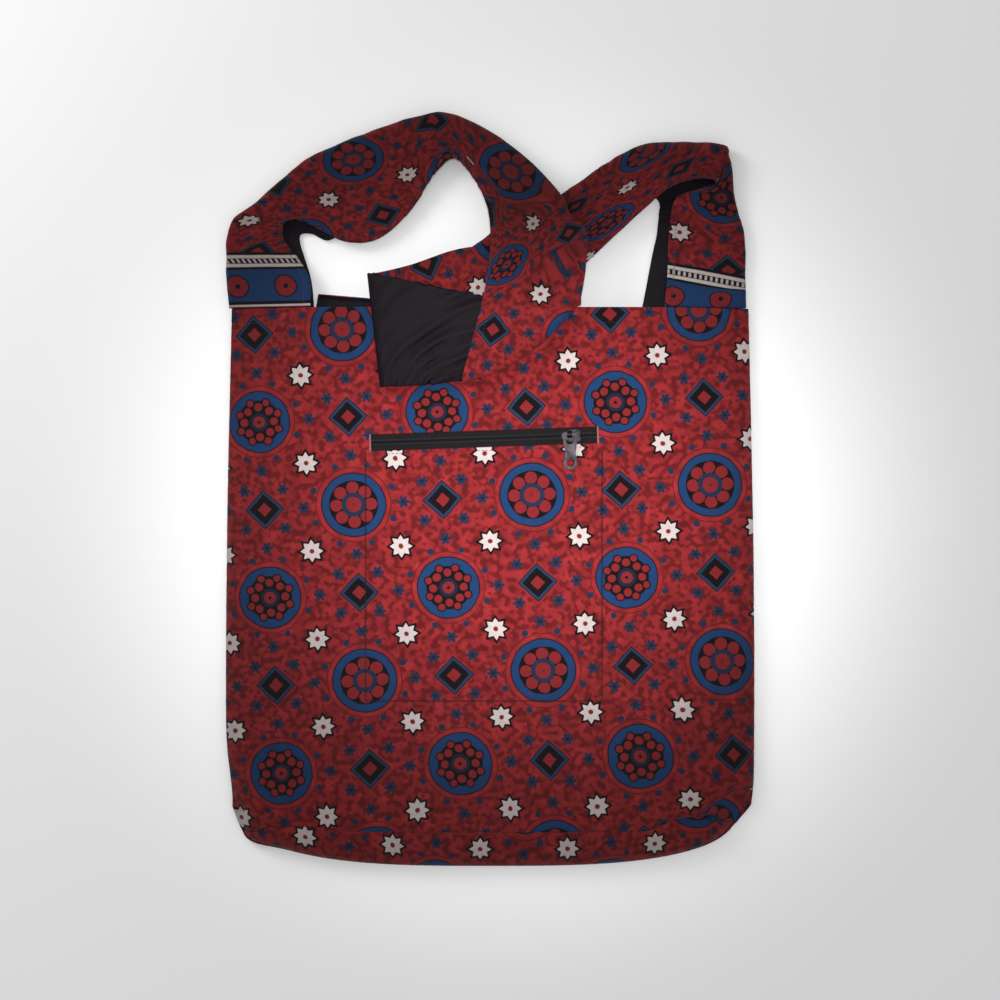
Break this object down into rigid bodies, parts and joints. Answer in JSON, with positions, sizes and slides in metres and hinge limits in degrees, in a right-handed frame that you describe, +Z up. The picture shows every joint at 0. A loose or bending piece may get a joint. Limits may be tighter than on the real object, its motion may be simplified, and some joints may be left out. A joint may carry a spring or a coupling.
{
  "type": "shoulder bag",
  "caption": "Flat lined cotton shoulder bag in a red and blue block print, with a gusseted base, one broad strap laid in folds and a zipped slit in its front panel.",
  "frame": {"origin": "on the floor under the middle of the whole outline, strap included, as the bag lies on its back", "axes": "+X to the bag's right as seen from above, +Y towards its mouth and strap, +Z up out of its front panel"},
  "size_m": [0.3856, 0.549, 0.0326],
  "materials": {
    "printed_cotton": "matt block-printed cotton",
    "dark_lining": "matt plain-woven lining",
    "zip_tape": "woven tape",
    "zip_coil": "satin nylon coil",
    "slider_metal": "dark lacquer",
    "puller_metal": "worn gunmetal"
  },
  "bodies": {
    "bag": {"front_panel": "printed_cotton", "back_panel": "printed_cotton", "base_gusset": "printed_cotton", "lining_front": "dark_lining", "lining_back": "dark_lining", "strap": "printed_cotton", "strap_lining": "dark_lining", "zip_tape_upper": "zip_tape", "zip_tape_lower": "zip_tape", "zip_teeth_upper": "zip_coil", "zip_teeth_lower": "zip_coil"},
    "slider": {"zip_slider": "slider_metal"},
    "puller": {"zip_puller": "puller_metal"}
  },
  "joints": [
    {"name": "zip_slide", "type": "slide", "parent": "bag", "child": "slider", "axis": [0.9994, 0.0349, 0], "range_m": [-0.132, 0]},
    {"name": "puller_lift", "type": "hinge", "parent": "slider", "child": "puller", "pos_m": [0.05753, 0.03976, 0.0233], "axis": [-0.9994, -0.0349, 0], "range_deg": [0, 150]}
  ]
}
